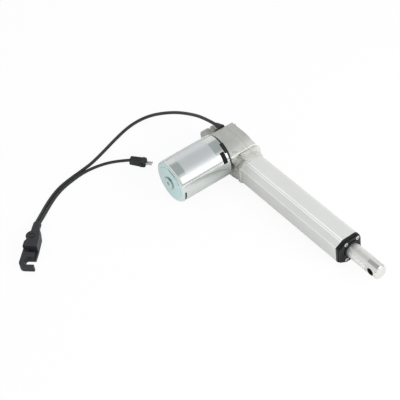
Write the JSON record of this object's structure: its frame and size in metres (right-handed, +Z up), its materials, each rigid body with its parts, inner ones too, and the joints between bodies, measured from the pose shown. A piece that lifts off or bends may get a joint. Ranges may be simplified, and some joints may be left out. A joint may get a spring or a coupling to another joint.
{
  "type": "electric linear actuator",
  "caption": "Electric linear actuator with a side-mounted motor, a worm gearbox, an extruded tube, a push rod and a cord with two plugs.",
  "frame": {"origin": "centre of the rear clevis bore, midway between the two lugs", "axes": "+X along the push rod outward, +Y along the clevis bore away from the motor, +Z up; the motor lies towards -Y"},
  "size_m": [0.4574, 0.3447, 0.07],
  "materials": {
    "casting": "die-cast, matt",
    "extrusion": "satin anodised",
    "zinc_steel": "zinc plated, polished",
    "bright_steel": "ground",
    "black_plastic": "moulded",
    "white_plastic": "moulded acetal",
    "rubber": "moulded",
    "cord_sheath": "extruded",
    "bronze": "turned",
    "copper": "lacquered wire",
    "core_steel": "laminated",
    "magnet": "sintered ferrite",
    "carbon": "pressed carbon",
    "circuit_board": "lacquered"
  },
  "bodies": {
    "housing": {"gear_housing": "casting", "gear_cover": "casting", "cover_screws": "bright_steel", "outer_tube": "extrusion", "guide_bush": "white_plastic", "end_cap": "black_plastic", "wiper_seal": "rubber", "cap_screws": "bright_steel", "switch_strip": "circuit_board", "limit_switches": "black_plastic", "spindle_rear_bearing": "bright_steel", "spindle_front_bearing": "bright_steel", "worm_end_bush": "bronze", "motor_can": "zinc_steel", "motor_magnets": "magnet", "motor_end_bell": "black_plastic", "motor_brushes": "carbon", "motor_screws": "bright_steel", "motor_front_bearing": "bright_steel", "motor_rear_bush": "bronze", "cable_gland": "black_plastic", "main_cord": "cord_sheath", "plug_cord": "cord_sheath", "plug_body": "black_plastic", "plug_pins": "bright_steel", "connector_body": "black_plastic", "connector_boot": "black_plastic", "connector_knob": "black_plastic"},
    "rotor": {"motor_shaft": "bright_steel", "worm": "bright_steel", "armature_core": "core_steel", "armature_windings": "copper", "commutator": "copper"},
    "spindle": {"spindle": "bright_steel", "spindle_guide": "white_plastic", "retaining_ring": "bright_steel", "worm_wheel": "white_plastic"},
    "rod": {"push_rod": "bright_steel", "rod_end": "bright_steel", "drive_nut": "white_plastic"}
  },
  "joints": [
    {"name": "motor_turn", "type": "hinge", "parent": "housing", "child": "rotor", "pos_m": [0.0542, -0.05, 0.02], "axis": [0, -1, 0], "range_deg": [0, 67500]},
    {"name": "spindle_turn", "type": "hinge", "parent": "housing", "child": "spindle", "pos_m": [0.0542, 0, 0], "axis": [-1, 0, 0], "range_deg": [0, 4500]},
    {"name": "rod_slide", "type": "slide", "parent": "housing", "child": "rod", "axis": [1, 0, 0], "range_m": [0, 0.15]}
  ],
  "couplings": [
    {"joint": "spindle_turn", "follows": "motor_turn", "ratio": 0.066667},
    {"joint": "rod_slide", "follows": "motor_turn", "m_per_rad": 0.00012732}
  ]
}
